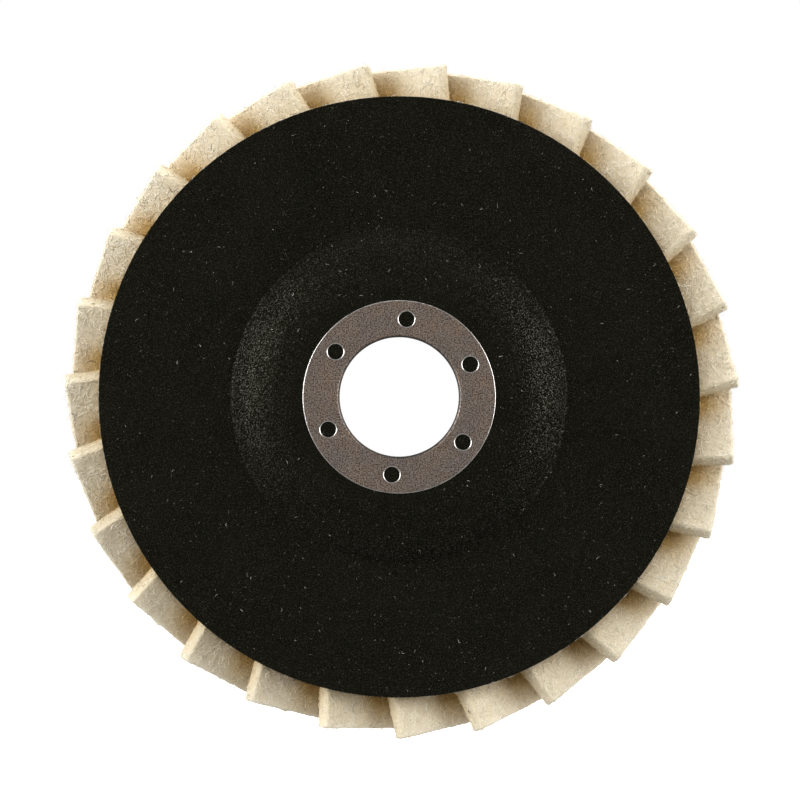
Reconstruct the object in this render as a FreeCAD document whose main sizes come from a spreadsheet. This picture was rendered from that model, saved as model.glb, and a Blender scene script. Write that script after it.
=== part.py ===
import FreeCAD, Part

import math
import os

import Sketcher

# Felt flap polishing wheel, 125 mm class, for a 22.23 mm arbor.
#
# The origin is on the wheel's axis, in the plane of the arbor ring's rear face, which is the face
# that seats on the machine's flange. +Y runs along the axis from the machine to the working side,
# +X is to the right and +Z is up when the wheel is seen from the machine. Lengths are millimetres.
#
# The backing plate has a raised hub: every ply follows the same half section, which is a flat hub,
# a dome that falls away from it, a crease, and the flat plate. The plies differ only in how deep
# they lie in the laminate. The felt flaps are flat slabs, tilted like louvres about the radius that
# they lie along, with their low edges in a bed of epoxy on the front of the plate.

SIZES = {
    "bore_radius": (11.115, "half of the 22.23 mm arbor hole"),
    "ring_radius": (18.0, "outside of the arbor ring's flange"),
    "ring_sheet": (0.5, "sheet thickness of the arbor ring"),
    "ring_bend": (0.6, "outside radius of the ring's two bends"),
    "ring_edge_round": (0.15, "rounding of the ring's free edges"),
    "ring_proud": (0.25, "height of the ring's rear face above the hub"),
    "lip_radius": (13.6, "outside of the lip that is rolled over on the front"),
    "pierced_count": (6, "pierced holes in the ring"),
    "pierced_radius": (1.45, "radius of a pierced hole"),
    "pierced_round": (0.25, "rounding of a pierced hole's rear edge"),
    "pierced_circle": (14.55, "radius of the circle that the holes lie on"),
    "pierced_phase": (5.4, "degrees from +Z to the first hole, towards +X"),
    "fleece_boss_root": (0.1, "how deep a fleece boss is rooted in the cover"),
    "collar_gap": (0.1, "clearance between the ring's collar and the plies"),
    "hub_flat_radius": (20.0, "flat part of the hub"),
    "dome_radius": (15.28, "radius of the dome's rear face in section"),
    "hub_rise": (5.0, "height of the hub above the plate"),
    "crease_round": (0.8, "radius of the crease between dome and plate, on the rear"),
    "plate_radius": (56.25, "outside of the backing plate"),
    "cover_sheet": (0.5, "thickness of the fleece cover"),
    "glass_sheet": (0.7, "thickness of one glass mesh ply"),
    "bed_inner_radius": (32.6, "inside of the epoxy bed"),
    "bed_outer_radius": (54.4, "outside of the epoxy bed"),
    "bed_depth": (2.0, "height of the epoxy bed above the plate"),
    "bed_web": (0.3, "epoxy under a flap's low edge"),
    "flap_count": (27, "felt flaps"),
    "flap_felt": (3.6, "felt thickness"),
    "flap_width": (25.0, "width of a flap"),
    "flap_inner": (33.0, "distance from the axis to a flap's inner end"),
    "flap_outer": (62.2, "distance from the axis to a flap's outer end"),
    "flap_tilt": (30.0, "degrees between a flap and the plate"),
    "flap_low_edge": (12.3, "sideways distance from a flap's radius to its low edge"),
    "flap_phase": (11.9, "degrees from +X to the first flap's radius, towards -Z"),
}
GLASS_PLIES = ("glass_ply_rear", "glass_ply_middle", "glass_ply_front")
START = 1
END = 2
CENTRE = 3
ORIGIN = (-1, 1)


class Size:
    """A length as a number, and as the expression that binds it to the sheet."""

    def __init__(self, value, text):
        self.value = value
        self.text = text

    def __add__(self, other):
        return Size(self.value + other.value, f"({self.text} + {other.text})")

    def __sub__(self, other):
        return Size(self.value - other.value, f"({self.text} - {other.text})")

    def __mul__(self, count):
        return Size(self.value * count, f"({self.text} * {count})")

    def degrees(self):
        return Size(self.value, f"{self.text} * 1 deg")


def size(alias):
    return Size(SIZES[alias][0], "Sizes." + alias)


NONE = Size(0.0, "0")
HUB_FACE = size("ring_proud")
PLATE_FACE = HUB_FACE + size("hub_rise")
LAMINATE = size("cover_sheet") + size("glass_sheet") * len(GLASS_PLIES)
RING_LENGTH = HUB_FACE + LAMINATE + size("ring_sheet")
PLY_BORE = size("bore_radius") + size("ring_sheet") + size("collar_gap")


def make_sheet(doc):
    """The driving dimensions: name, value and meaning in a row, the value's cell named by alias."""
    sheet = doc.addObject("Spreadsheet::Sheet", "Sizes")
    for row, (alias, (value, meaning)) in enumerate(SIZES.items(), start=1):
        sheet.set(f"A{row}", alias)
        sheet.set(f"B{row}", str(value))
        sheet.set(f"C{row}", meaning)
        sheet.setAlias(f"B{row}", alias)
    doc.recompute()


def make_body(doc, name):
    body = doc.addObject("PartDesign::Body", name)
    body.Label = name
    return body


def make_sketch(body, name, role, offset=None):
    """A sketch on one of the body's own origin planes, moved along its normal by offset."""
    plane = next(item for item in body.Origin.OriginFeatures if item.Role == role)
    sketch = body.newObject("Sketcher::SketchObject", name)
    sketch.AttachmentSupport = [(plane, "")]
    sketch.MapMode = "FlatFace"
    if offset:
        sketch.setExpression("AttachmentOffset.Base.z", offset.text)
    return sketch


def drive(sketch, name, kind, where, length):
    """Add a dimension to the sketch, and bind it to the sheet."""
    index = sketch.addConstraint(Sketcher.Constraint(kind, *where, length.value))
    sketch.renameConstraint(index, name)
    sketch.setExpression("Constraints." + name, length.text)


def line(start, end):
    return (Part.LineSegment(FreeCAD.Vector(*start), FreeCAD.Vector(*end)), START, END)


def arc(centre, radius, begin, finish):
    """An arc from one angle to another, in degrees. It may run either way round."""
    circle = Part.Circle(FreeCAD.Vector(*centre), FreeCAD.Vector(0, 0, 1), radius)
    low, high = sorted((begin, finish))
    ends = (START, END) if begin < finish else (END, START)
    return (Part.ArcOfCircle(circle, math.radians(low), math.radians(high)), *ends)


def draw_loop(sketch, pieces):
    """Draw a closed loop. An arc is tangent to what it meets, and square lines stay square."""
    for geometry, _, _ in pieces:
        sketch.addGeometry(geometry, False)
    for index, (geometry, _, leave) in enumerate(pieces):
        following = (index + 1) % len(pieces)
        other, enter, _ = pieces[following]
        smooth = isinstance(geometry, Part.ArcOfCircle) or isinstance(other, Part.ArcOfCircle)
        joint = "Tangent" if smooth else "Coincident"
        sketch.addConstraint(Sketcher.Constraint(joint, index, leave, following, enter))
        if isinstance(geometry, Part.LineSegment):
            run = geometry.EndPoint - geometry.StartPoint
            if abs(run.y) < 1e-9:
                sketch.addConstraint(Sketcher.Constraint("Horizontal", index))
            elif abs(run.x) < 1e-9:
                sketch.addConstraint(Sketcher.Constraint("Vertical", index))


def revolve(body, name, sketch):
    """Turn a half section, whose plane holds the wheel's axis, into a ring."""
    turned = body.newObject("PartDesign::Revolution", name)
    turned.Profile = sketch
    turned.ReferenceAxis = (sketch, ["V_Axis"])
    turned.Angle = 360.0
    sketch.Visibility = False
    return turned


def extrude(body, kind, name, sketch, length, back=False):
    """A pad or a pocket. A pad follows the sketch's normal and a pocket goes against it; back turns them."""
    made = body.newObject("PartDesign::" + kind, name)
    made.Profile = sketch
    made.setExpression("Length", length.text)
    made.Reversed = back
    sketch.Visibility = False
    return made


def repeat_round(body, name, feature, count):
    """Repeat a feature evenly round the body's own Y axis, which is the wheel's axis."""
    axis = next(item for item in body.Origin.OriginFeatures if item.Role == "Y_Axis")
    pattern = body.newObject("PartDesign::PolarPattern", name)
    pattern.Originals = [feature]
    pattern.Axis = (axis, [""])
    pattern.Angle = 360.0
    pattern.setExpression("Occurrences", count.text)
    body.Tip = pattern
    return pattern


def solid_volume(doc, body):
    doc.recompute()
    return body.Shape.Volume


def must_change(doc, body, before, less):
    """Stop if a feature did nothing, as a pocket that points away from the solid does."""
    change = solid_volume(doc, body) - before
    if change >= 0 if less else change <= 0:
        raise RuntimeError(f"{body.Label}: the last feature changed the volume by {change:.3f}")


def circle_edges(feature, radius, height):
    """Names of the feature's circular edges of that radius that lie at that height on the axis."""
    found = []
    for index, edge in enumerate(feature.Shape.Edges, start=1):
        curve = edge.Curve
        if isinstance(curve, Part.Circle) and abs(curve.Radius - radius) < 1e-4:
            if abs(curve.Center.y - height) < 1e-4:
                found.append(f"Edge{index}")
    return found


def pierced_hole_sketch(body, name, offset=None):
    """One circle where the ring's first pierced hole is, seen along the axis."""
    sketch = make_sketch(body, name, "XZ_Plane", offset)
    reach = size("pierced_circle")
    radius = size("pierced_radius")
    phase = math.radians(size("pierced_phase").value)
    middle = FreeCAD.Vector(reach.value * math.sin(phase), reach.value * math.cos(phase), 0)
    spoke = sketch.addGeometry(Part.LineSegment(FreeCAD.Vector(0, 0, 0), middle), True)
    hole = sketch.addGeometry(Part.Circle(middle, FreeCAD.Vector(0, 0, 1), radius.value), False)
    sketch.addConstraint(Sketcher.Constraint("Coincident", spoke, START, *ORIGIN))
    sketch.addConstraint(Sketcher.Constraint("Coincident", spoke, END, hole, CENTRE))
    drive(sketch, "reach", "Distance", (spoke,), reach)
    drive(sketch, "radius", "Radius", (hole,), radius)
    bearing = Size(math.pi / 2 - phase, "90 deg - " + size("pierced_phase").degrees().text)
    drive(sketch, "bearing", "Angle", (-1, START, spoke, START), bearing)
    return sketch


def ring_section(body):
    """Half section of the ring: flange at the rear, collar through the hub, rolled lip in front."""
    sketch = make_sketch(body, "ring_section", "XY_Plane")
    bore, bend, steel = (size(word).value for word in ("bore_radius", "ring_bend", "ring_sheet"))
    flange, lip, edge = (
        size(word).value for word in ("ring_radius", "lip_radius", "ring_edge_round")
    )
    front = RING_LENGTH.value
    bent = bore + bend
    rear_centre = (bent, bend)
    front_centre = (bent, front - bend)
    draw_loop(sketch, [
        line((bent, 0), (flange - edge, 0)),
        arc((flange - edge, edge), edge, 270, 360),
        line((flange, edge), (flange, steel)),
        line((flange, steel), (bent, steel)),
        arc(rear_centre, bend - steel, 270, 180),
        line((bore + steel, bend), (bore + steel, front - bend)),
        arc(front_centre, bend - steel, 180, 90),
        line((bent, front - steel), (lip, front - steel)),
        line((lip, front - steel), (lip, front - edge)),
        arc((lip - edge, front - edge), edge, 0, 90),
        line((lip - edge, front), (bent, front)),
        arc(front_centre, bend, 90, 180),
        line((bore, front - bend), (bore, bend)),
        arc(rear_centre, bend, 180, 270),
    ])
    rear_face, flange_round, flange_edge, rear_inside, front_inside = 0, 1, 2, 4, 6
    lip_edge, lip_round, front_face, front_outside, bore_wall, rear_outside = 8, 9, 10, 11, 12, 13
    concentric = ((rear_inside, rear_outside), (front_inside, front_outside))
    for inside, outside in concentric:
        sketch.addConstraint(Sketcher.Constraint("Coincident", inside, CENTRE, outside, CENTRE))
    sketch.addConstraint(Sketcher.Constraint("PointOnObject", rear_face, START, -1))
    sketch.addConstraint(Sketcher.Constraint("Equal", front_outside, rear_outside))
    sketch.addConstraint(Sketcher.Constraint("Equal", flange_round, lip_round))
    drive(sketch, "bend", "Radius", (rear_outside,), size("ring_bend"))
    drive(sketch, "inner_bend", "Radius", (rear_inside,), size("ring_bend") - size("ring_sheet"))
    drive(sketch, "edge_round", "Radius", (flange_round,), size("ring_edge_round"))
    drive(sketch, "bore", "DistanceX", (*ORIGIN, bore_wall, START), size("bore_radius"))
    drive(sketch, "flange", "DistanceX", (*ORIGIN, flange_edge, START), size("ring_radius"))
    drive(sketch, "lip", "DistanceX", (*ORIGIN, lip_edge, START), size("lip_radius"))
    drive(sketch, "front", "DistanceY", (*ORIGIN, front_face, START), RING_LENGTH)
    return sketch


def make_arbor_ring(doc):
    """Pressed steel ring: the wheel's bore, seat and clamping faces."""
    body = make_body(doc, "arbor_ring")
    revolve(body, "ring_turned", ring_section(body))
    before = solid_volume(doc, body)
    sketch = pierced_hole_sketch(body, "pierced_hole")
    hole = extrude(body, "Pocket", "pierced", sketch, size("ring_sheet"))
    must_change(doc, body, before, less=True)
    holes = repeat_round(body, "pierced_round", hole, size("pierced_count"))
    before = solid_volume(doc, body)
    rims = body.newObject("PartDesign::Fillet", "pierced_rims")
    rims.Base = (holes, circle_edges(holes, size("pierced_radius").value, 0.0))
    rims.setExpression("Radius", size("pierced_round").text)
    must_change(doc, body, before, less=True)
    return body


def ply_section(body, rear, front):
    """Half section of a ply whose faces lie rear and front deep in the laminate."""
    sketch = make_sketch(body, "ply_section", "XY_Plane")
    inner, flat, outer = PLY_BORE.value, size("hub_flat_radius").value, size("plate_radius").value
    dome, crease = size("dome_radius").value, size("crease_round").value
    dome_height = HUB_FACE + size("dome_radius")
    crease_height = PLATE_FACE - size("crease_round")
    drop = dome_height.value - crease_height.value
    reach = math.sqrt((dome + crease) ** 2 - drop**2)
    turn = math.degrees(math.atan2(reach, drop))
    dome_centre = (flat, dome_height.value)
    crease_centre = (flat + reach, crease_height.value)
    hub_rear, hub_front = (HUB_FACE + rear).value, (HUB_FACE + front).value
    plate_rear, plate_front = (PLATE_FACE + rear).value, (PLATE_FACE + front).value
    draw_loop(sketch, [
        line((inner, hub_rear), (flat, hub_rear)),
        arc(dome_centre, dome - rear.value, -90, turn - 90),
        arc(crease_centre, crease + rear.value, 90 + turn, 90),
        line((flat + reach, plate_rear), (outer, plate_rear)),
        line((outer, plate_rear), (outer, plate_front)),
        line((outer, plate_front), (flat + reach, plate_front)),
        arc(crease_centre, crease + front.value, 90, 90 + turn),
        arc(dome_centre, dome - front.value, turn - 90, -90),
        line((flat, hub_front), (inner, hub_front)),
        line((inner, hub_front), (inner, hub_rear)),
    ])
    hub, rear_dome, rear_crease, rim, front_crease, front_dome = 0, 1, 2, 4, 6, 7
    for one, other in ((rear_dome, front_dome), (rear_crease, front_crease)):
        sketch.addConstraint(Sketcher.Constraint("Coincident", one, CENTRE, other, CENTRE))
    drive(sketch, "dome_out", "DistanceX", (*ORIGIN, rear_dome, CENTRE), size("hub_flat_radius"))
    drive(sketch, "dome_up", "DistanceY", (*ORIGIN, rear_dome, CENTRE), dome_height)
    drive(sketch, "crease_up", "DistanceY", (*ORIGIN, rear_crease, CENTRE), crease_height)
    drive(sketch, "rear_dome", "Radius", (rear_dome,), size("dome_radius") - rear)
    drive(sketch, "front_dome", "Radius", (front_dome,), size("dome_radius") - front)
    drive(sketch, "rear_crease", "Radius", (rear_crease,), size("crease_round") + rear)
    drive(sketch, "inner", "DistanceX", (*ORIGIN, hub, START), PLY_BORE)
    drive(sketch, "outer", "DistanceX", (*ORIGIN, rim, START), size("plate_radius"))
    return sketch


def make_glass_plies(doc):
    """Three resin-bonded plies of glass mesh, nested behind each other under the cover."""
    bodies = []
    for index, name in enumerate(GLASS_PLIES):
        rear = size("cover_sheet") + size("glass_sheet") * index
        body = make_body(doc, name)
        revolve(body, "ply_turned", ply_section(body, rear, rear + size("glass_sheet")))
        bodies.append(body)
    return bodies


def make_rear_cover(doc):
    """Fleece moulded over the back. The ring is pressed into it, and it stands up in the holes."""
    body = make_body(doc, "rear_cover_ply")
    revolve(body, "cover_turned", ply_section(body, NONE, size("cover_sheet")))
    before = solid_volume(doc, body)
    seat = make_sketch(body, "ring_seat", "XZ_Plane")
    radius = size("ring_radius")
    outline = Part.Circle(FreeCAD.Vector(0, 0, 0), FreeCAD.Vector(0, 0, 1), radius.value)
    circle = seat.addGeometry(outline, False)
    seat.addConstraint(Sketcher.Constraint("Coincident", circle, CENTRE, *ORIGIN))
    drive(seat, "radius", "Radius", (circle,), radius)
    extrude(body, "Pocket", "ring_pressed_in", seat, size("ring_sheet"))
    must_change(doc, body, before, less=True)
    before = solid_volume(doc, body)
    sketch = pierced_hole_sketch(body, "fleece_boss", NONE - HUB_FACE)
    depth = size("ring_sheet") - HUB_FACE + size("fleece_boss_root")
    boss = extrude(body, "Pad", "fleece_in_hole", sketch, depth, back=True)
    must_change(doc, body, before, less=False)
    repeat_round(body, "fleece_in_holes", boss, size("pierced_count"))
    return body


def flap_end_view(body):
    """A flap's end, seen along its radius: a slab of felt, tilted, with its low edge in the bed."""
    sketch = make_sketch(body, "flap_end", "YZ_Plane", size("flap_inner"))
    tilt = math.radians(size("flap_tilt").value)
    low = PLATE_FACE + LAMINATE + size("bed_web")
    across = FreeCAD.Vector(math.sin(tilt), math.cos(tilt), 0) * size("flap_width").value
    through = FreeCAD.Vector(math.cos(tilt), -math.sin(tilt), 0) * size("flap_felt").value
    foot = FreeCAD.Vector(low.value, -size("flap_low_edge").value, 0)
    corners = [foot, foot + across, foot + across + through, foot + through]
    for index, corner in enumerate(corners):
        sketch.addGeometry(Part.LineSegment(corner, corners[(index + 1) % 4]), False)
    for index in range(4):
        following = (index + 1) % 4
        sketch.addConstraint(Sketcher.Constraint("Coincident", index, END, following, START))
    back, high_end, front, low_end = range(4)
    sketch.addConstraint(Sketcher.Constraint("Parallel", back, front))
    sketch.addConstraint(Sketcher.Constraint("Parallel", high_end, low_end))
    sketch.addConstraint(Sketcher.Constraint("Perpendicular", back, high_end))
    drive(sketch, "low", "DistanceX", (*ORIGIN, back, START), low)
    drive(sketch, "aside", "DistanceY", (back, START, *ORIGIN), size("flap_low_edge"))
    drive(sketch, "width", "Distance", (back,), size("flap_width"))
    drive(sketch, "felt", "Distance", (high_end,), size("flap_felt"))
    upright = Size(math.pi / 2 - tilt, "90 deg - " + size("flap_tilt").degrees().text)
    drive(sketch, "lean", "Angle", (-1, START, back, START), upright)
    return sketch


def make_adhesive_bed(doc):
    """Ring of epoxy on the front of the plate, with a slot where each flap stands in it."""
    body = make_body(doc, "adhesive_bed")
    sketch = make_sketch(body, "bed_section", "XY_Plane")
    inner, outer = size("bed_inner_radius"), size("bed_outer_radius")
    floor = PLATE_FACE + LAMINATE
    top = floor + size("bed_depth")
    draw_loop(sketch, [
        line((inner.value, floor.value), (outer.value, floor.value)),
        line((outer.value, floor.value), (outer.value, top.value)),
        line((outer.value, top.value), (inner.value, top.value)),
        line((inner.value, top.value), (inner.value, floor.value)),
    ])
    bottom_side, outer_side, top_side, _ = range(4)
    drive(sketch, "inner", "DistanceX", (*ORIGIN, bottom_side, START), inner)
    drive(sketch, "outer", "DistanceX", (*ORIGIN, outer_side, START), outer)
    drive(sketch, "floor", "DistanceY", (*ORIGIN, bottom_side, START), floor)
    drive(sketch, "top", "DistanceY", (*ORIGIN, top_side, START), top)
    revolve(body, "bed_turned", sketch)
    before = solid_volume(doc, body)
    reach = size("flap_outer") - size("flap_inner")
    slot = extrude(body, "Pocket", "flap_slot", flap_end_view(body), reach, back=True)
    must_change(doc, body, before, less=True)
    repeat_round(body, "flap_slots", slot, size("flap_count"))
    turn_about_axis(body, size("flap_phase").text)
    return body


def turn_about_axis(body, angle):
    """Turn a body about the wheel's axis, by an angle in degrees that the sheet gives."""
    body.setExpression("Placement", f"placement(vector(0; 0; 0); rotationy({angle}))")


def make_flap(doc, number):
    """One slab of pressed wool felt, cut square."""
    body = make_body(doc, f"flap_{number:02d}")
    reach = size("flap_outer") - size("flap_inner")
    extrude(body, "Pad", "felt_slab", flap_end_view(body), reach)
    turns = f"{number - 1} * 360 / Sizes.flap_count"
    turn_about_axis(body, f"{size('flap_phase').text} + {turns}")
    return body


def make_wheel():
    doc = FreeCAD.newDocument("felt_polishing_wheel")
    make_sheet(doc)
    bodies = [make_arbor_ring(doc), make_rear_cover(doc), *make_glass_plies(doc)]
    bodies.append(make_adhesive_bed(doc))
    for number in range(1, SIZES["flap_count"][0] + 1):
        bodies.append(make_flap(doc, number))
    doc.recompute()
    return doc, bodies


def check_model(doc, bodies):
    """Stop if any object failed, or any piece isn't one valid solid."""
    failed = [item.Label for item in doc.Objects if {"Invalid", "Error"} & set(item.State)]
    loose = [
        item.Label
        for item in doc.Objects
        if item.TypeId == "Sketcher::SketchObject" and item.solve() != 0
    ]
    if failed or loose:
        raise RuntimeError(f"failed objects: {failed}, unsolved sketches: {loose}")
    for body in bodies:
        shape = body.Shape
        if shape.isNull() or not shape.isValid() or len(shape.Solids) != 1:
            raise RuntimeError(f"{body.Label} isn't one valid solid")


def write_parts(bodies):
    os.makedirs("parts", exist_ok=True)
    for body in bodies:
        body.Shape.exportStep(f"parts/{body.Label}.step")
        print(f"{body.Label}: {body.Shape.Volume:.2f} mm3")


document, pieces = make_wheel()
check_model(document, pieces)
write_parts(pieces)
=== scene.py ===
import math

import bmesh
import bpy
import numpy as np
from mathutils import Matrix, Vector
from mathutils.bvhtree import BVHTree


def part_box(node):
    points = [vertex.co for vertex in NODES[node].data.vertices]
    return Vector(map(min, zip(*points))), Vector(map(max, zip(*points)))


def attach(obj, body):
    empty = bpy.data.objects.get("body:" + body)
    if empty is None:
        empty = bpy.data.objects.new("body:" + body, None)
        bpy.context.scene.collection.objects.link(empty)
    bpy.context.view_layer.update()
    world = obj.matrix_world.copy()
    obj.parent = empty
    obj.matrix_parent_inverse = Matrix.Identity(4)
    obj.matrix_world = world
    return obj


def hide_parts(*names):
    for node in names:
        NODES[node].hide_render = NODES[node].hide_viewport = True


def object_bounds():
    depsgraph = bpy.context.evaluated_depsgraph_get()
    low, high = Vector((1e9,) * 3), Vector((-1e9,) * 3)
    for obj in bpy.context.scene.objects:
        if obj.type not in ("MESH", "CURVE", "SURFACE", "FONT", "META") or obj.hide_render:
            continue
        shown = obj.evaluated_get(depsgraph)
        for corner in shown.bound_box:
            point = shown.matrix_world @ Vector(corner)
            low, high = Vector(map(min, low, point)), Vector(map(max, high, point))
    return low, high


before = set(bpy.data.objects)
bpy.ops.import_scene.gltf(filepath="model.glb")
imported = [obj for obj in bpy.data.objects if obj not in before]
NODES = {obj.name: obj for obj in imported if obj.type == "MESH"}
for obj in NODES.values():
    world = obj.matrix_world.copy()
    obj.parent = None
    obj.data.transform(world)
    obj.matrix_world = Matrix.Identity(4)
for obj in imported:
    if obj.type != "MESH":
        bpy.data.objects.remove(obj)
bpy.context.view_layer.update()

FLAPS = sorted(name for name in NODES if name.startswith("flap_"))
MM = 0.001
ROOT = "root"

COVER_THICKNESS = 0.5 * MM
PLATE_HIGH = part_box("rear_cover_ply")[1]
PLATE_RADIUS = PLATE_HIGH.x
PLATE_REAR = PLATE_HIGH.y - COVER_THICKNESS
RING_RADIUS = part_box("arbor_ring")[1].x
LAMINATE_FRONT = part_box("glass_ply_front")[1].y
RING_LIP = 13.6 * MM        # the lip that the ring is rolled over into on the front
BED_INNER = 32.6 * MM       # the adhesive's inner edge
THREAD_SIDES = 3
FULL_TURN = 2 * math.pi


# ---------------------------------------------------------------- meshes

def mesh_piece(name, points, faces, material):
    """A mesh object made of points and lists of faces, riding on the wheel."""
    mesh = bpy.data.meshes.new(name)
    mesh.from_pydata([tuple(p) for p in points], [], [face for rows in faces for face in rows.tolist()])
    mesh.materials.append(material)
    mesh.shade_smooth()
    piece = bpy.data.objects.new(name, mesh)
    bpy.context.scene.collection.objects.link(piece)
    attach(piece, ROOT)
    return piece


def store(piece, name, values):
    """Keeps one number, or one vector, for each vertex, for the material to read."""
    kind, field = ("FLOAT", "value") if values.ndim == 1 else ("FLOAT_VECTOR", "vector")
    attribute = piece.data.attributes.new(name, kind, "POINT")
    attribute.data.foreach_set(field, values.astype(np.float32).ravel())


def unit(vectors):
    return vectors / np.maximum(np.linalg.norm(vectors, axis=-1, keepdims=True), 1e-12)


class Noise:
    """Smooth seeded noise from -1 to 1: a block of random numbers that repeats, read between its cells."""

    def __init__(self, seed, cells=48):
        self.block = np.random.default_rng(seed).uniform(-1, 1, (cells, cells, cells))

    def __call__(self, points, size):
        grid = points / size
        cell = np.floor(grid).astype(int)
        part = grid - cell
        part = part * part * (3 - 2 * part)
        total = np.zeros(len(points))
        for corner in np.ndindex(2, 2, 2):
            weight = np.prod(np.where(corner, part, 1 - part), axis=1)
            i, j, k = ((cell + corner) % len(self.block)).T
            total += weight * self.block[i, j, k]
        return total


def thread_mesh(paths, radii):
    """Points and faces of thin closed tubes along paths[thread, step], thinner towards both ends."""
    count, steps, _ = paths.shape
    ahead = unit(np.gradient(paths, axis=1))
    helper = np.where(np.abs(ahead[..., 1:2]) < 0.9, [0.0, 1.0, 0.0], [1.0, 0.0, 0.0])
    side = unit(np.cross(ahead, helper))
    other = np.cross(ahead, side)
    turn = FULL_TURN * np.arange(THREAD_SIDES) / THREAD_SIDES
    taper = 0.35 + 0.65 * np.sin(math.pi * np.linspace(0.08, 0.92, steps))
    out = np.cos(turn)[:, None] * side[:, :, None] + np.sin(turn)[:, None] * other[:, :, None]
    points = paths[:, :, None] + radii[:, None, None, None] * taper[None, :, None, None] * out
    index = np.arange(count * steps * THREAD_SIDES).reshape(count, steps, THREAD_SIDES)
    after = np.roll(index, -1, axis=2)
    walls = np.stack([index[:, :-1], after[:, :-1], after[:, 1:], index[:, 1:]], axis=-1).reshape(-1, 4)
    ends = np.concatenate([index[:, 0, ::-1], index[:, -1]])
    return points.reshape(-1, 3), [walls, ends]


def curly_paths(rng, starts, first, second, lift, lengths, steps, arch, curl=1.0):
    """Wandering lines from points of a surface: along it in two directions, and arched up along a third."""
    count = len(starts)
    t = np.linspace(0, 1, steps)
    swing = rng.uniform(0.4, 1.6, (count, 1)) * curl
    heading = rng.uniform(0, FULL_TURN, (count, 1)) + rng.normal(0, 0.7 * curl, (count, 1)) * t
    waves = rng.uniform(0.4, 1.3, (count, 1)) * t + rng.uniform(0, 1, (count, 1))
    heading = heading + swing * np.sin(FULL_TURN * waves)
    stride = lengths[:, None] / (steps - 1)
    u = np.cumsum(stride * np.cos(heading), axis=1)
    v = np.cumsum(stride * np.sin(heading), axis=1)
    height = arch * np.abs(rng.normal(0, 1, (count, 1))) * np.sin(math.pi * t)
    return starts[:, None] + u[..., None] * first + v[..., None] * second + height[..., None] * lift


# ---------------------------------------------------------------- materials

class Finish:
    """A material built from nodes, with short calls for what the finishes share. Its sizes are in mm."""

    def __init__(self, name, **values):
        self.material = bpy.data.materials.new(name)
        self.material.use_nodes = True
        self.tree = self.material.node_tree
        self.shader = self.tree.nodes["Principled BSDF"]
        self.set(**values)

    def set(self, **values):
        """Principled inputs by name, with _ for a space: a number, a colour or another node's output."""
        for name, value in values.items():
            self.feed(self.shader.inputs[name.replace("_", " ")], value)
        return self.material

    def feed(self, socket, value):
        if isinstance(value, bpy.types.NodeSocket):
            self.tree.links.new(value, socket)
        elif socket.type == "RGBA" and len(value) == 3:
            socket.default_value = (*value, 1.0)
        else:
            socket.default_value = value

    def node(self, kind, inputs, output=0, **settings):
        node = self.tree.nodes.new("ShaderNode" + kind)
        for name, value in settings.items():
            setattr(node, name, value)
        for key, value in inputs.items():
            self.feed(node.inputs[key], value)
        return node.outputs[output]

    def place(self):
        """The point's own place on the wheel, in mm."""
        spot = self.node("TexCoord", {}, "Object")
        return self.node("VectorMath", {0: spot, "Scale": 1 / MM}, operation="SCALE")

    def kept(self, name, output="Fac"):
        """A value kept for each vertex under that name."""
        return self.node("Attribute", {}, output, attribute_name=name)

    def maths(self, operation, *terms):
        return self.node("Math", dict(enumerate(terms)), operation=operation)

    def part(self, vector, axis):
        return self.node("SeparateXYZ", {0: vector}, axis)

    def noise(self, vector, size, detail=2.0, roughness=0.5, output="Fac"):
        inputs = {"Vector": vector, "Scale": 1 / size, "Detail": detail, "Roughness": roughness}
        return self.node("TexNoise", inputs, output)

    def spots(self, vector, size):
        """The distance to the nearest of scattered points: 0 on a point."""
        return self.node("TexVoronoi", {"Vector": vector, "Scale": 1 / size}, "Distance")

    def remap(self, value, low, high, to_low=0.0, to_high=1.0):
        inputs = {"Value": value, "From Min": low, "From Max": high, "To Min": to_low, "To Max": to_high}
        return self.node("MapRange", inputs)

    def mix(self, factor, first, second, blend="MIX"):
        node = self.tree.nodes.new("ShaderNodeMix")
        node.data_type = "RGBA"
        node.blend_type = blend
        for socket, value in zip((node.inputs[0], node.inputs[6], node.inputs[7]), (factor, first, second)):
            self.feed(socket, value)
        return node.outputs[2]

    def stretch(self, vector, angles, scale):
        """The vector turned by angles and scaled along its new axes."""
        return self.node("Mapping", {"Vector": vector, "Rotation": angles, "Scale": scale})

    def wander(self, vector, size, amount):
        """The vector pushed about by up to about that many mm."""
        push = self.noise(vector, size, 1.0, output="Color")
        push = self.node("VectorMath", {0: push, 1: (0.5, 0.5, 0.5)}, operation="SUBTRACT")
        push = self.node("VectorMath", {0: push, "Scale": 2 * amount}, operation="SCALE")
        return self.node("VectorMath", {0: vector, 1: push}, operation="ADD")

    def hairs(self, vector, angles, length, width, thin):
        """Thin wavy lines along one direction: 1 on a line, 0 between them."""
        lines = self.stretch(vector, angles, (1 / length, 1 / width, 1 / width))
        ridge = self.maths("ABSOLUTE", self.maths("MULTIPLY_ADD", self.noise(lines, 1.0, 1.0), 2.0, -1.0))
        return self.remap(self.maths("SUBTRACT", 1.0, ridge), thin, 0.995)

    def highest(self, values):
        top = values[0]
        for value in values[1:]:
            top = self.maths("MAXIMUM", top, value)
        return top

    def bump(self, height, depth, strength=1.0):
        """A relief of that depth in mm."""
        return self.node("Bump", {"Height": height, "Distance": depth * MM, "Strength": strength})


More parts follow.
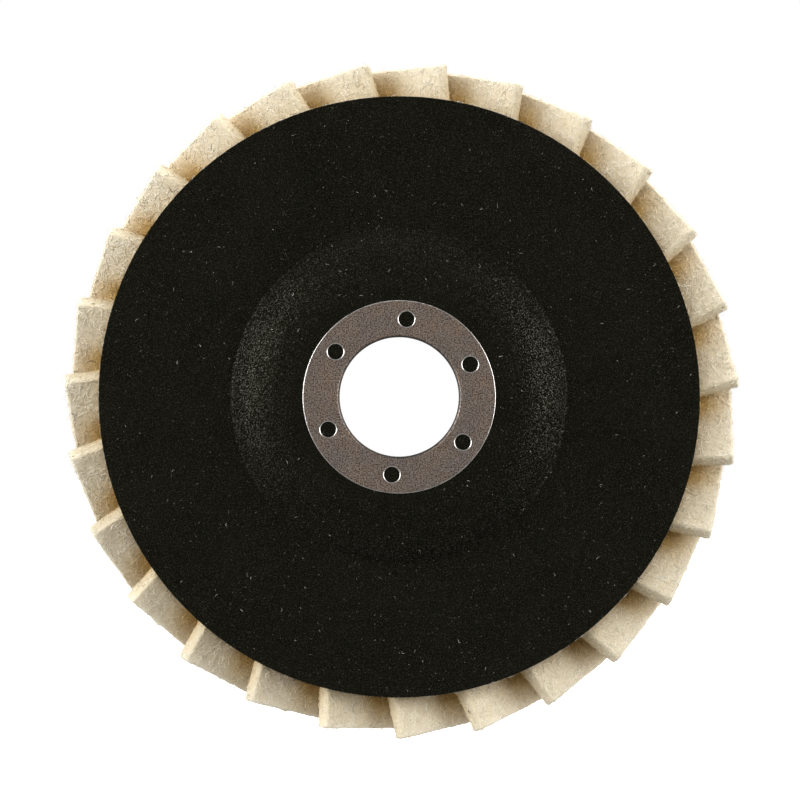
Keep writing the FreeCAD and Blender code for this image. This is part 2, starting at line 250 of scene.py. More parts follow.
def felt_finish():
    """Pressed cream wool: pale fibres over tan gaps, smoother where it was cut, with painted ochre shade
    between the flaps and a painted highlight at their outer ends.
    """
    felt = Finish("wool_felt_pressed", Roughness=0.95, Specular_IOR_Level=0.2)
    felt.set(Sheen_Weight=0.05, Sheen_Roughness=0.5)
    local = felt.kept("felt", "Vector")
    spot = felt.wander(local, 1.3, 0.7)
    cut = felt.kept("cut")
    shade = felt.kept("painted_shade")
    fibres = felt.highest([felt.hairs(spot, (0.15 * k, 0.1, angle), 1.5, 0.36 + 0.04 * k, 0.70)
                           for k, angle in enumerate((0.2, 1.0, 1.8, 2.6))])
    lumps = felt.noise(local, 3.0, 3.0, 0.6)
    fine = felt.noise(spot, 0.30, 2.0, 0.7)
    body = felt.mix(felt.remap(lumps, 0.35, 0.65), (0.42, 0.335, 0.19), (0.54, 0.455, 0.295))
    gaps = felt.mix(felt.remap(fine, 0.42, 0.58), (0.31, 0.235, 0.12), body)
    threads = felt.mix(felt.maths("MULTIPLY", fibres, 0.95), gaps, (0.70, 0.615, 0.455))
    smooth = felt.mix(felt.remap(fine, 0.3, 0.7), (0.60, 0.52, 0.36), (0.74, 0.66, 0.49))
    colour = felt.mix(felt.maths("MULTIPLY", cut, 0.8), threads, smooth)
    # painted shade: ochre multiplied in between neighbouring flaps and just past the plate's rim
    colour = felt.mix(shade, colour, (0.63, 0.46, 0.20), "MULTIPLY")
    # painted highlight: paler towards a flap's outer end, for its bright backlit fuzzy edge
    colour = felt.mix(felt.maths("MULTIPLY", felt.kept("rim"), 0.35), colour, (0.95, 0.91, 0.81))
    tone = felt.remap(felt.kept("tone"), 0.0, 1.0, 0.95, 1.05)
    colour = felt.mix(1.0, colour, felt.node("CombineColor", {0: tone, 1: tone, 2: tone}), "MULTIPLY")
    relief = felt.maths("MULTIPLY_ADD", fibres, 0.8, felt.maths("MULTIPLY", fine, 0.6))
    normal = felt.bump(relief, 0.05, felt.remap(cut, 0.0, 1.0, 0.9, 0.4))
    return felt.set(Base_Color=colour, Normal=normal)


def wool_finish():
    """Loose wool fibres: mostly pale cream, some nearly white, and hardly any dark."""
    wool = Finish("wool_fibre", Roughness=0.7, Sheen_Weight=0.05, Specular_IOR_Level=0.3)
    tone = wool.kept("tone")
    warm = wool.mix(wool.remap(tone, 0.05, 0.45), (0.80, 0.71, 0.53), (0.93, 0.875, 0.73))
    pale = wool.mix(wool.remap(tone, 0.55, 0.95), warm, (0.98, 0.95, 0.85))
    dark = wool.mix(wool.remap(tone, 0.0012, 0.0016), (0.08, 0.055, 0.03), pale)
    streaks = wool.noise(wool.place(), 0.5, 1.0)
    colour = wool.mix(wool.remap(streaks, 0.3, 0.7, 0.0, 0.1), dark, (0.64, 0.52, 0.34))
    # painted shade: the same ochre between neighbouring flaps, on the loose wool
    colour = wool.mix(wool.kept("painted_shade"), colour, (0.72, 0.54, 0.26), "MULTIPLY")
    return wool.set(Base_Color=colour)


def fleece_finish():
    """Black non-woven fleece soaked in resin: dull fibres with specks of gloss, and a few pale specks."""
    fleece = Finish("black_fleece", Specular_Tint=(1.0, 0.97, 0.80))
    spot = fleece.place()
    bent = fleece.wander(spot, 2.2, 0.9)
    fibres = fleece.highest([fleece.hairs(bent, (0.0, angle, 0.1 * k), 1.2, 0.36, 0.66)
                             for k, angle in enumerate((0.3, 1.2, 2.2))])
    grain = fleece.noise(spot, 0.24, 1.0, 0.8)
    cloudy = fleece.noise(spot, 9.0, 3.0, 0.6)
    tiny = fleece.remap(fleece.spots(spot, 0.60), 0.18, 0.08)
    rare = fleece.remap(fleece.noise(spot, 1.1, 1.0), 0.58, 0.66)
    specks = fleece.maths("MULTIPLY", tiny, rare)
    ground = fleece.mix(fleece.remap(cloudy, 0.3, 0.7), (0.0016, 0.0016, 0.0010), (0.0032, 0.0031, 0.0020))
    grainy = fleece.mix(fleece.remap(grain, 0.56, 0.78), ground, (0.0270, 0.0265, 0.0175))
    haired = fleece.mix(fleece.maths("MULTIPLY", fibres, 0.12), grainy, (0.0240, 0.0230, 0.0150))
    colour = fleece.mix(specks, haired, (0.14, 0.135, 0.105))
    wet = fleece.remap(fleece.noise(spot, 0.23, 1.0, 0.9), 0.56, 0.70, 0.0, 0.80)
    relief = fleece.maths("MULTIPLY_ADD", grain, 1.0, fleece.maths("MULTIPLY", fibres, 0.4))
    return fleece.set(Base_Color=colour, Normal=fleece.bump(relief, 0.05, 1.0), Specular_IOR_Level=wet,
                      Roughness=fleece.remap(grain, 0.3, 0.7, 0.42, 0.32))


def lint_finish():
    """Pale dust and glass lint caught in the black fleece."""
    lint = Finish("pale_lint", Roughness=0.6)
    shade = lint.noise(lint.place(), 0.8, 1.0)
    return lint.set(Base_Color=lint.mix(shade, (0.30, 0.29, 0.25), (0.75, 0.73, 0.66)))


def steel_finish():
    """Zinc-plated steel, stamped and tumbled: a warm grey, mottled satin, with a painted highlight on its
    rounded edges and painted shade on the bore's wall.
    """
    steel = Finish("satin_steel", Metallic=1.0)
    spot = steel.place()
    cloudy = steel.noise(spot, 5.0, 3.0, 0.6)
    grain = steel.noise(spot, 0.26, 1.0, 0.8)
    stains = steel.noise(spot, 1.4, 2.0, 0.6)
    warm = steel.mix(steel.remap(cloudy, 0.35, 0.65), (0.58, 0.48, 0.42), (0.71, 0.53, 0.405))
    colour = steel.mix(steel.remap(stains, 0.35, 0.75, 0.0, 0.4), warm, (0.62, 0.56, 0.51))
    dull = steel.mix(0.86, colour, (0.02, 0.018, 0.02))
    colour = steel.mix(steel.remap(grain, 0.38, 0.58), dull, colour)
    rough = steel.remap(grain, 0.3, 0.7, 0.50, 0.42)
    rough = steel.maths("ADD", rough, steel.remap(stains, 0.3, 0.7, 0.0, 0.08))
    normal = steel.bump(steel.maths("MULTIPLY_ADD", stains, 0.6, grain), 0.03, 0.9)
    facing = steel.maths("ABSOLUTE", steel.part(steel.node("TexCoord", {}, "Normal"), "Y"))
    across = steel.node("VectorMath", {0: spot, 1: (1.0, 0.0, 1.0)}, operation="MULTIPLY")
    outer = steel.remap(steel.node("VectorMath", {0: across}, "Value", operation="LENGTH"), 12.6, 12.9)
    # painted highlight: rounded edges and hole rims outside the bore made nearly white
    edge = steel.maths("MULTIPLY", steel.remap(facing, 0.985, 0.90), outer)
    colour = steel.mix(edge, colour, (0.92, 0.90, 0.87))
    # painted shade: the bore's inner wall made nearly black
    bore_painted_shade = steel.maths("MULTIPLY", steel.remap(facing, 0.985, 0.80), steel.maths("SUBTRACT", 1.0, outer))
    colour = steel.mix(bore_painted_shade, colour, (0.07, 0.065, 0.06))
    rough = steel.maths("SUBTRACT", rough, steel.maths("MULTIPLY", edge, 0.20))
    return steel.set(Base_Color=colour, Roughness=rough, Normal=normal)


def laminate_finish():
    """Black phenolic resin over woven glass: satin, with the pale glass showing faintly through."""
    resin = Finish("glass_laminate", Specular_IOR_Level=0.4, Coat_Weight=0.15, Coat_Roughness=0.35)
    spot = resin.place()
    cloudy = resin.noise(spot, 4.0, 3.0, 0.6)
    grain = resin.noise(spot, 0.35, 2.0, 0.7)
    strands = resin.hairs(spot, (0.0, 0.0, 0.0), 8.0, 0.3, 0.86)
    ground = resin.mix(resin.remap(cloudy, 0.3, 0.7), (0.020, 0.016, 0.011), (0.045, 0.036, 0.024))
    glass = resin.maths("MULTIPLY", strands, resin.remap(grain, 0.4, 0.7, 0.0, 0.5))
    colour = resin.mix(glass, ground, (0.13, 0.105, 0.07))
    rough = resin.remap(grain, 0.3, 0.7, 0.38, 0.62)
    normal = resin.bump(resin.maths("MULTIPLY_ADD", strands, 0.4, grain), 0.05, 0.7)
    return resin.set(Base_Color=colour, Roughness=rough, Normal=normal)


def weave_finish():
    """Flat glass strands soaked in dark resin: fine filaments run along each strand."""
    weave = Finish("glass_strands", Specular_IOR_Level=0.45, Coat_Weight=0.2, Coat_Roughness=0.3)
    along = weave.kept("strand", "Vector")
    filaments = weave.noise(weave.stretch(along, (0.0, 0.0, 0.0), (1 / 6.0, 1 / 0.16, 1.0)), 1.0, 2.0, 0.6)
    cloudy = weave.noise(weave.place(), 3.0, 3.0, 0.6)
    ground = weave.mix(weave.remap(cloudy, 0.3, 0.7), (0.030, 0.024, 0.016), (0.065, 0.052, 0.035))
    colour = weave.mix(weave.remap(filaments, 0.45, 0.7, 0.0, 0.7), ground, (0.15, 0.125, 0.09))
    rough = weave.remap(filaments, 0.3, 0.7, 0.5, 0.32)
    return weave.set(Base_Color=colour, Roughness=rough, Normal=weave.bump(filaments, 0.05, 0.8))


def epoxy_finish():
    """Amber epoxy, clouded by filler, with small bubbles and a glossy skin."""
    epoxy = Finish("amber_epoxy", Coat_Weight=0.6, Coat_Roughness=0.12, Subsurface_Weight=0.15)
    epoxy.set(Subsurface_Scale=0.8 * MM, Subsurface_Radius=(1.0, 0.6, 0.25))
    spot = epoxy.place()
    cloudy = epoxy.noise(spot, 2.6, 3.0, 0.6)
    bubble = epoxy.remap(epoxy.spots(spot, 0.9), 0.22, 0.12)
    ground = epoxy.mix(epoxy.remap(cloudy, 0.3, 0.7), (0.30, 0.19, 0.085), (0.47, 0.33, 0.17))
    colour = epoxy.mix(epoxy.maths("MULTIPLY", bubble, 0.5), ground, (0.58, 0.45, 0.27))
    rough = epoxy.remap(epoxy.noise(spot, 0.8), 0.3, 0.7, 0.22, 0.42)
    normal = epoxy.bump(epoxy.maths("SUBTRACT", cloudy, epoxy.maths("MULTIPLY", bubble, 0.6)), 0.15, 0.6)
    return epoxy.set(Base_Color=colour, Roughness=rough, Normal=normal)


def dress(name, material):
    """Gives a CAD node that stays on show its finish."""
    for slot in NODES[name].material_slots:
        slot.material = material


FELT = felt_finish()
WOOL = wool_finish()
FLEECE = fleece_finish()
LINT = lint_finish()
STEEL = steel_finish()
LAMINATE = laminate_finish()
WEAVE = weave_finish()
EPOXY = epoxy_finish()
dress("arbor_ring", STEEL)
dress("rear_cover_ply", FLEECE)
for ply in ("glass_ply_rear", "glass_ply_middle", "glass_ply_front"):
    dress(ply, LAMINATE)
dress("adhesive_bed", EPOXY)


# ---------------------------------------------------------------- felt flaps

FELT_ROUND = 0.55 * MM      # how far the felt's cut edges are worn round
FELT_CELL = 0.42 * MM       # the grid that carries the felt's unevenness
FELT_OFF_CENTRE = np.array((0.45, 0.0, -0.6)) * MM      # the flaps are glued on slightly off the axis
FLAP_TURN = 0.6             # degrees that a flap may be turned from its place, either way
FLAP_SLIDE = 0.25 * MM      # how far a flap may be moved from its place, either way
FLAP_BOW = 0.10 * MM        # how far the flaps' ends are bent back
SHADE_START = 3.0 * MM    # the gap to a flap's neighbour where the flap comes out from behind it
SHADE_FADE = 1.6 * MM
SHADE_REACH = 8.0 * MM    # how far past the plate's rim a flap gets painted shade from its neighbours
RIM_FADE = 1.1 * MM         # how far in from a flap's outer end the painted highlight of its backlit edge fades
FIBRES_PER_FLAP = 1100
FUZZ_PER_FLAP = 320
FIBRE_STEPS = 6
FIBRE_ARCH = 0.05 * MM
FIBRE_INSET = 0.2 * MM      # how far fibres keep from the edges of a face
FIBRE_LENGTHS = (0.9, 3.0)          # mm
FIBRE_HEIGHTS = (-0.09, -0.01)      # mm from the felt's surface to the ends of a fibre
FIBRE_RADII = (0.045, 0.078)        # mm
FUZZ_RADIUS = 0.013         # mm


def slab_of(node):
    """Centre, half sizes and directions of a flap's slab: outwards, across the flap and through the felt."""
    corners = np.unique(np.round([tuple(v.co) for v in node.data.vertices], 7), axis=0)
    centre = corners.mean(axis=0)
    axes = np.linalg.svd(corners - centre)[2]
    half = np.abs((corners - centre) @ axes.T).max(axis=0)
    towards = np.array([axes[0] @ centre, axes[1][1], axes[2][1]])
    return centre, half, axes * np.sign(towards)[:, None]


SLABS = [slab_of(NODES[name]) for name in FLAPS]


def painted_shade(points, index):
    """Painted shade for each point of a flap, from how deep it lies between its neighbours: 1 beside one, 0
    out in the open, with a little more just past the plate's rim.
    """
    nearest = np.full(len(points), np.inf)
    for centre, half, axes in (SLABS[index - 1], SLABS[(index + 1) % len(SLABS)]):
        beyond = np.abs((points - FELT_OFF_CENTRE - centre) @ axes.T) - half
        nearest = np.minimum(nearest, np.linalg.norm(np.maximum(beyond, 0), axis=1))
    outwards = np.hypot(points[:, 0], points[:, 2]) - PLATE_RADIUS
    beside = np.exp(-np.clip(nearest - SHADE_START, 0, None) / SHADE_FADE)
    beside = beside * np.clip(1.15 - outwards / SHADE_REACH, 0.3, 1)
    return np.maximum(beside, 0.4 * np.exp(-np.clip(outwards, 0, None) / SHADE_FADE))


def grid_lines(half):
    """Lines across a face of the felt, closer together where its edge is round."""
    inner = half - FELT_ROUND
    even = np.linspace(-inner, inner, max(3, round(2 * inner / FELT_CELL) + 1))
    edge = inner + FELT_ROUND * np.array([0.4, 0.75, 1.0])
    return np.concatenate([-edge[::-1], even, edge])


def felt_block(half):
    """Points, outward directions and faces of a block of that half size whose edges are round."""
    lines = [grid_lines(h) for h in half]
    counts = [len(line) for line in lines]
    faces = []
    for axis in range(3):
        one, two = (axis + 1) % 3, (axis + 2) % 3
        a, b = np.meshgrid(np.arange(counts[one] - 1), np.arange(counts[two] - 1), indexing="ij")
        for end in (0, counts[axis] - 1):
            loop = [(0, 0), (1, 0), (1, 1), (0, 1)]
            corners = []
            for da, db in loop if end else loop[::-1]:
                place = [None, None, None]
                place[axis] = np.full(a.size, end)
                place[one] = (a + da).ravel()
                place[two] = (b + db).ravel()
                corners.append((place[0] * counts[1] + place[1]) * counts[2] + place[2])
            faces.append(np.stack(corners, axis=1))
    keys, faces = np.unique(np.concatenate(faces), return_inverse=True)
    cells = np.stack(np.unravel_index(keys, counts), axis=1)
    flat = np.stack([lines[axis][cells[:, axis]] for axis in range(3)], axis=1)
    inner = np.clip(flat, FELT_ROUND - half, half - FELT_ROUND)
    out = unit(flat - inner)
    return inner + FELT_ROUND * out, out, faces.reshape(-1, 4)


def place_flap(rng, centre, half, axes, local):
    """Local points of a flap moved to where it sits, a little out of line as hand-set flaps are."""
    turn = math.radians(rng.uniform(-FLAP_TURN, FLAP_TURN))
    slide = rng.uniform(-FLAP_SLIDE, FLAP_SLIDE, 2)
    bow = FLAP_BOW * (1 + rng.uniform(-0.5, 0.5)) * (local[:, 0] / half[0]) ** 2
    out, across, through = local.T
    turned = np.stack([out * math.cos(turn) - across * math.sin(turn) + slide[0],
                       out * math.sin(turn) + across * math.cos(turn) + slide[1],
                       through - bow], axis=1)
    return centre + turned @ axes + FELT_OFF_CENTRE


# For each face of a slab: its axis and end, its share of the fibres, and the part of it that shows.
FIBRE_FACES = (
    (2, -1, 0.36, (0.15, 1.0), (-1.0, 0.5)),
    (2, 1, 0.34, (-1.0, 1.0), (-0.15, 1.0)),
    (1, -1, 0.06, (0.15, 1.0), (-1.0, 1.0)),
    (1, 1, 0.11, (-1.0, 1.0), (-1.0, 1.0)),
    (0, 1, 0.08, (-1.0, 1.0), (-1.0, 1.0)),
    (0, -1, 0.05, (-0.5, 1.0), (-1.0, 1.0)),
)


def fibre_paths(rng, half):
    """Loose fibres over the parts of a flap that show, in its own axes."""
    eye = np.eye(3)
    paths = []
    for axis, end, share, first_span, second_span in FIBRE_FACES:
        first, second = [k for k in range(3) if k != axis]
        count = round(FIBRES_PER_FLAP * share)
        starts = np.zeros((count, 3))
        starts[:, axis] = end * (half[axis] + rng.uniform(*FIBRE_HEIGHTS, count) * MM)
        starts[:, first] = rng.uniform(*first_span, count) * half[first]
        starts[:, second] = rng.uniform(*second_span, count) * half[second]
        lengths = rng.uniform(*FIBRE_LENGTHS, count) * MM * (1.0 if axis == 2 else 0.6)
        lines = curly_paths(rng, starts, eye[first], eye[second], end * eye[axis], lengths,
                            FIBRE_STEPS, FIBRE_ARCH)
        for k in (first, second):
            limit = half[k] - FIBRE_INSET
            lines[..., k] = limit - np.abs(limit - lines[..., k])
            lines[..., k] = np.abs(lines[..., k] + limit) - limit
        paths.append(lines)
    return np.concatenate(paths)


def fuzz_paths(rng, half):
    """Fine short hairs that stand out of a flap's cut edges, in its own axes."""
    count = FUZZ_PER_FLAP
    axis = rng.choice(2, count, p=(0.6, 0.4))
    end = np.where(axis == 0, 1, rng.choice((-1, 1), count))
    starts = rng.uniform(-1, 1, (count, 3)) * half
    starts[:, 2] = np.where(rng.random(count) < 0.6, np.sign(starts[:, 2]) * half[2], starts[:, 2])
    rows = np.arange(count)
    starts[rows, axis] = end * (half[axis] - 0.1 * MM)
    ahead = rng.normal(0, 0.8, (count, 3))
    ahead[rows, axis] = end * rng.uniform(0.5, 1.2, count)
    curl = rng.normal(0, 0.6, (count, 3))
    t = np.linspace(0, 1, FIBRE_STEPS)[None, :, None]
    lengths = (0.25 + 0.55 * rng.random((count, 1, 1)) ** 2) * MM
    return starts[:, None] + lengths * (t * unit(ahead)[:, None] + t ** 2 * curl[:, None])


def make_flap(index):
    """One felt flap in place of the CAD's plain slab, with its loose wool as a piece of its own."""
    name = FLAPS[index]
    rng = np.random.default_rng(100 + index)
    noise = Noise(500 + index)
    centre, half, axes = SLABS[index]
    points, out, faces = felt_block(half)
    edge = np.clip(1.6 * (1 - np.abs(out[:, 2])), 0, 1)
    lumps = 0.06 * noise(points, 1.2 * MM) + 0.04 * noise(points, 0.6 * MM)
    lumps = 0.05 * noise(points, 3.4 * MM) + lumps * (1 - 0.7 * edge)
    local = points + out * ((lumps - 0.07) * MM)[:, None]
    paths = np.concatenate([fibre_paths(rng, half), fuzz_paths(rng, half)])
    count, steps, _ = paths.shape
    radii = rng.uniform(*FIBRE_RADII, count - FUZZ_PER_FLAP)
    radii = np.concatenate([radii, np.full(FUZZ_PER_FLAP, FUZZ_RADIUS)]) * MM
    seat = int(rng.integers(1 << 30))
    placed = place_flap(np.random.default_rng(seat), centre, half, axes, local)
    lines = place_flap(np.random.default_rng(seat), centre, half, axes, paths.reshape(-1, 3))
    flap = mesh_piece("felt_" + name, placed, [faces], FELT)
    store(flap, "felt", points / MM + rng.uniform(0, 200, 3))
    store(flap, "cut", edge)
    # painted shade between neighbouring flaps, and a painted highlight towards the outer end, kept for the
    # felt's colour
    store(flap, "painted_shade", painted_shade(placed, index))
    store(flap, "rim", np.exp(-np.clip(half[0] - points[:, 0], 0, None) / RIM_FADE))
    store(flap, "tone", np.full(len(points), rng.uniform(0, 1)))
    wool_points, wool_faces = thread_mesh(lines.reshape(paths.shape), radii)
    wool = mesh_piece("wool_fibres_" + name[-2:], wool_points, wool_faces, WOOL)
    store(wool, "tone", np.repeat(rng.uniform(0, 1, count), steps * THREAD_SIDES))
    store(wool, "painted_shade", painted_shade(wool_points, index))
    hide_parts(name)


for index in range(len(FLAPS)):
    make_flap(index)


# ---------------------------------------------------------------- what the plate carries

STRAND_PITCH = 2.7 * MM     # from one glass strand to the next
STRAND_HALF_WIDTH = 0.62 * MM
STRAND_STEP = 0.5 * MM      # from one point along a strand to the next
STRAND_RISE = 0.13 * MM     # how far a strand's crown stands out
STRAND_WEAVE = 0.07 * MM    # how far it rises and sinks where strands cross
STRAND_SECTION = (  # half widths aside and shares of the rise, from one edge to the other
    (-1.0, -0.3), (-0.85, 0.35), (-0.45, 0.85), (0.0, 1.0), (0.45, 0.85), (0.85, 0.35), (1.0, -0.3))
RECESS_INNER = RING_LIP + 0.5 * MM
RECESS_OUTER = BED_INNER + 0.6 * MM
BEAD_STEPS_PER_FLAP = 20
BEAD_SIDES = 14
LINT_COUNT = 420


def surface_finder(node, side):
    """A function that gives the Y of a CAD node's outer face at any X and Z, seen from side -1 or 1."""
    tree = BVHTree.FromObject(NODES[node], bpy.context.evaluated_depsgraph_get())

    def height(x, z):
        hit = tree.ray_cast(Vector((x, side * 0.1, z)), Vector((0, -side, 0)))[0]
        return math.nan if hit is None else hit.y

    return height


def strand_mesh(height, across, start, stop, flip, rise):
    """Points and faces of one flat strand on a surface: x, y, z and the places along, aside and across."""
    steps = max(2, round((stop - start) / STRAND_STEP) + 1)
    points = []
    for along in np.linspace(start, stop, steps):
        over = STRAND_WEAVE * math.cos(math.pi * along / STRAND_PITCH + rise)
        for place, top in STRAND_SECTION:
            aside = place * STRAND_HALF_WIDTH
            x, z = (along, across + aside) if flip else (across + aside, along)
            points.append((x, height(x, z) + top * STRAND_RISE + over, z, along, aside, across))
    return np.array(points), strip_faces(steps, len(STRAND_SECTION))


def strip_faces(steps, width):
    """Faces of a closed strip that has width points at each of its steps."""
    index = np.arange(steps * width).reshape(steps, width)
    after = np.roll(index, -1, axis=1)
    walls = np.stack([index[:-1], after[:-1], after[1:], index[1:]], axis=-1).reshape(-1, 4)
    return [walls, np.stack([index[0, ::-1], index[-1]])]


def make_glass_weave():
    """The glass net that stands out of the resin in the recess: flat strands, woven over and under."""
    height = surface_finder("glass_ply_front", 1)
    reach = int(RECESS_OUTER / STRAND_PITCH)
    points, walls, ends, total = [], [], [], 0
    for flip in (False, True):
        for k in range(-reach, reach + 1):
            across = (k + 0.25) * STRAND_PITCH
            far = RECESS_OUTER ** 2 - (abs(across) + STRAND_HALF_WIDTH) ** 2
            if far <= 0:
                continue
            far = math.sqrt(far)
            hole = RECESS_INNER ** 2 - (abs(across) - STRAND_HALF_WIDTH) ** 2
            runs = [(-far, far)]
            if hole > 0 and abs(across) <= RECESS_INNER:
                runs = [(-far, -math.sqrt(hole)), (math.sqrt(hole), far)]
            for start, stop in runs:
                rise = math.pi * (k + flip)
                found, (sides, caps) = strand_mesh(height, across, start, stop, flip, rise)
                points.append(found)
                walls.append(sides + total)
                ends.append(caps + total)
                total += len(found)
    rows = np.concatenate(points)
    weave = mesh_piece("glass_net", rows[:, :3], walls + ends, WEAVE)
    store(weave, "strand", rows[:, 3:] / MM)


def make_epoxy_bead():
    """The adhesive squeezed out round the inner ends of the flaps: a wavy bead with a lobe at each flap."""
    noise = Noise(41)
    steps = BEAD_STEPS_PER_FLAP * len(FLAPS)
    turn = FULL_TURN * np.arange(steps) / steps
    circle = np.stack([np.cos(turn), np.zeros(steps), np.sin(turn)], axis=1)
    wave = np.cos(len(FLAPS) * turn) + 0.4 * np.cos(2 * len(FLAPS) * turn + 1.0)
    uneven = noise(circle * BED_INNER, 7 * MM) + 0.5 * noise(circle * BED_INNER, 2.2 * MM)
    thick = (0.95 + 0.22 * wave + 0.28 * uneven) * MM
    round_turn = FULL_TURN * np.arange(BEAD_SIDES) / BEAD_SIDES
    reach = BED_INNER + 0.35 * MM - thick[:, None] * np.cos(round_turn)
    up = LAMINATE_FRONT + 0.15 * MM + (1.25 * thick[:, None]) * np.sin(round_turn)
    points = np.stack([reach * circle[:, :1], up, reach * circle[:, 2:]], axis=-1)
    index = np.arange(steps * BEAD_SIDES).reshape(steps, BEAD_SIDES)
    nearby, ahead = np.roll(index, -1, axis=1), np.roll(index, -1, axis=0)
    both = np.roll(nearby, -1, axis=0)
    faces = np.stack([index, ahead, both, nearby], axis=-1).reshape(-1, 4)
    mesh_piece("epoxy_bead", points.reshape(-1, 3), [faces], EPOXY)


def make_lint():
    """Specks and short pale fibres caught in the fleece of the back."""
    rng = np.random.default_rng(7)
    height = surface_finder("rear_cover_ply", -1)
    radius = np.sqrt(rng.uniform(RING_RADIUS ** 2, (PLATE_RADIUS - MM) ** 2, LINT_COUNT))
    turn = rng.uniform(0, FULL_TURN, LINT_COUNT)
    starts = np.array([(r * math.cos(a), 0.0, r * math.sin(a)) for r, a in zip(radius, turn)])
    lengths = (0.14 + 0.75 * rng.random(LINT_COUNT) ** 5) * MM
    across, out, up = np.eye(3)
    paths = curly_paths(rng, starts, across, up, -out, lengths, steps=5, arch=0.03 * MM, curl=0.7)
    for path in paths.reshape(-1, 3):
        path[1] += height(path[0], path[2]) - 0.02 * MM
    points, faces = thread_mesh(paths, rng.uniform(0.018, 0.042, LINT_COUNT) * MM)
    mesh_piece("fleece_lint", points, faces, LINT)


def make_fray(name, material, seed, count, lean, lengths, radii):
    """Short fibres that stand out of the plate's trimmed rim, in bunches."""
    rng = np.random.default_rng(seed)
    turn = rng.uniform(0, FULL_TURN, 3 * count)
    circle = np.stack([np.cos(turn), np.zeros(len(turn)), np.sin(turn)], axis=1)
    bunched = Noise(seed)(circle * PLATE_RADIUS, 24 * MM) + rng.uniform(-0.5, 0.5, len(turn))
    turn = turn[bunched > 0.1][:count]
    count = len(turn)
    outward = np.stack([np.cos(turn), np.zeros(count), np.sin(turn)], axis=1)
    aside = np.stack([-np.sin(turn), np.zeros(count), np.cos(turn)], axis=1)
    starts = outward * (PLATE_RADIUS - rng.uniform(0.0, 0.12, (count, 1)) * MM)
    starts[:, 1] = PLATE_REAR + rng.uniform(0.0, 0.5, count) ** 2 * MM
    lean = rng.normal(0, lean, (count, 1))
    t = np.linspace(0, 1, 5)[None, :, None]
    length = (lengths[0] + lengths[1] * rng.random((count, 1, 1)) ** 2) * MM
    bend = rng.normal(0, 0.5, (count, 1, 1))
    ahead = unit(outward + lean * aside)
    paths = starts[:, None] + length * (t * ahead[:, None] + bend * t ** 2 * aside[:, None])
    points, faces = thread_mesh(paths, rng.uniform(*radii, count) * MM)
    mesh_piece(name, points, faces, material)


make_glass_weave()
make_epoxy_bead()
make_lint()
make_fray("fleece_fray", FLEECE, 8, 260, 0.9, (0.25, 0.65), (0.02, 0.04))
make_fray("glass_fray", LINT, 9, 520, 3.0, (0.15, 0.45), (0.02, 0.045))


# ---------------------------------------------------------------- stage, lights and camera

VIEW_WIDTH = 0.149          # what the camera takes in, side to side, in the plane of the arbor ring
CAMERA_AWAY = 1.2
CAMERA_AT = (0.15 * MM, -CAMERA_AWAY, -0.58 * MM)
SENSOR_MM = 36.0
FLOOR_HALF = 4.0
BACKDROP_RADIUS = 5.5


def plain_surface(name, paint, glow, light):
    stage = Finish(name, Roughness=0.9, Specular_IOR_Level=0.1, Base_Color=paint)
    return stage.set(Emission_Color=glow, Emission_Strength=light)


def make_floor():
    """A plain pale floor under the wheel. It sends no light, so the black plate mirrors only the lights."""
    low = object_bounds()[0].z
    mesh = bpy.data.meshes.new("floor")
    corners = [(x * FLOOR_HALF, y * FLOOR_HALF, low) for x, y in ((-1, -1), (1, -1), (1, 1), (-1, 1))]
    mesh.from_pydata(corners, [], [(0, 1, 2, 3)])
    pale = (0.92, 0.92, 0.92)
    mesh.materials.append(plain_surface("floor_white", pale, pale, 0.85))
    floor = bpy.data.objects.new("floor", mesh)
    bpy.context.scene.collection.objects.link(floor)
    for ray in ("diffuse", "glossy"):
        setattr(floor, "visible_" + ray, False)


def make_backdrop():
    """A white shell far outside, which only shows behind the wheel and casts and sends no light."""
    mesh = bpy.data.meshes.new("backdrop")
    shell = bmesh.new()
    bmesh.ops.create_uvsphere(shell, u_segments=48, v_segments=24, radius=BACKDROP_RADIUS)
    shell.to_mesh(mesh)
    shell.free()
    mesh.materials.append(plain_surface("backdrop_white", (0.0, 0.0, 0.0), (1.0, 1.0, 1.0), 1.0))
    backdrop = bpy.data.objects.new("backdrop", mesh)
    bpy.context.scene.collection.objects.link(backdrop)
    for ray in ("diffuse", "glossy", "transmission", "volume_scatter", "shadow"):
        setattr(backdrop, "visible_" + ray, False)


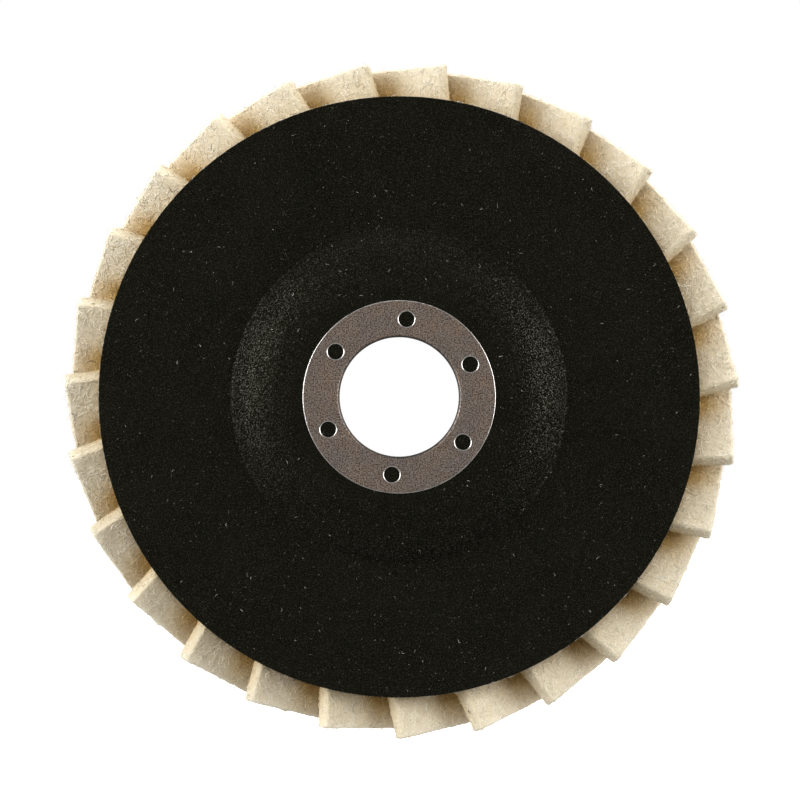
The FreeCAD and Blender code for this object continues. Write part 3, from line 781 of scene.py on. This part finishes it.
def make_world():
    """Soft light from all round, dimmer from the camera's side."""
    world = bpy.data.worlds.new("studio")
    bpy.context.scene.world = world
    world.use_nodes = True
    nodes, links = world.node_tree.nodes, world.node_tree.links
    light = nodes["Background"]
    direction = nodes.new("ShaderNodeTexCoord")
    towards = nodes.new("ShaderNodeVectorMath")
    towards.operation = "DOT_PRODUCT"
    towards.inputs[1].default_value = (0.0, 0.98, -0.1)
    fade = nodes.new("ShaderNodeMapRange")
    links.new(direction.outputs["Generated"], towards.inputs[0])
    links.new(towards.outputs["Value"], fade.inputs["Value"])
    for key, value in {"From Min": -0.8, "From Max": 0.4, "To Min": 0.08, "To Max": 1.0}.items():
        fade.inputs[key].default_value = value
    links.new(fade.outputs[0], light.inputs["Strength"])
    light.inputs["Color"].default_value = (1.0, 0.99, 0.97, 1.0)


def soft_light(name, spot, watts, width, height, mirrored=True):
    """An area light that faces the wheel. One that isn't mirrored leaves no gloss on the plate."""
    data = bpy.data.lights.new(name, "AREA")
    data.shape = "RECTANGLE"
    data.size = width
    data.size_y = height
    data.energy = watts
    light = bpy.data.objects.new(name, data)
    light.location = spot
    light.rotation_euler = (-Vector(spot)).to_track_quat("-Z", "Y").to_euler()
    light.visible_glossy = mirrored
    bpy.context.scene.collection.objects.link(light)


def make_camera():
    data = bpy.data.cameras.new("camera")
    data.sensor_width = SENSOR_MM
    data.lens = SENSOR_MM * CAMERA_AWAY / VIEW_WIDTH
    data.clip_start = 0.01
    data.clip_end = 20.0
    camera = bpy.data.objects.new("camera", data)
    camera.location = CAMERA_AT
    camera.rotation_euler = (math.pi / 2, 0, 0)
    bpy.context.scene.collection.objects.link(camera)
    bpy.context.scene.camera = camera


make_floor()
make_backdrop()
make_world()
soft_light("light_left", (-0.86, -0.44, 0.20), 9.6, 0.6, 0.8)
soft_light("light_right", (0.86, -0.44, 0.15), 8.2, 0.6, 0.8)
soft_light("light_above", (0.0, 0.25, 1.02), 9.5, 0.9, 0.5)
soft_light("light_front", (-0.35, -1.6, 0.45), 20.5, 1.6, 1.2, mirrored=False)
soft_light("light_working_side", (0.25, 0.90, 0.75), 6.0, 0.8, 0.6)
make_camera()
bpy.context.scene.view_settings.view_transform = "Standard"
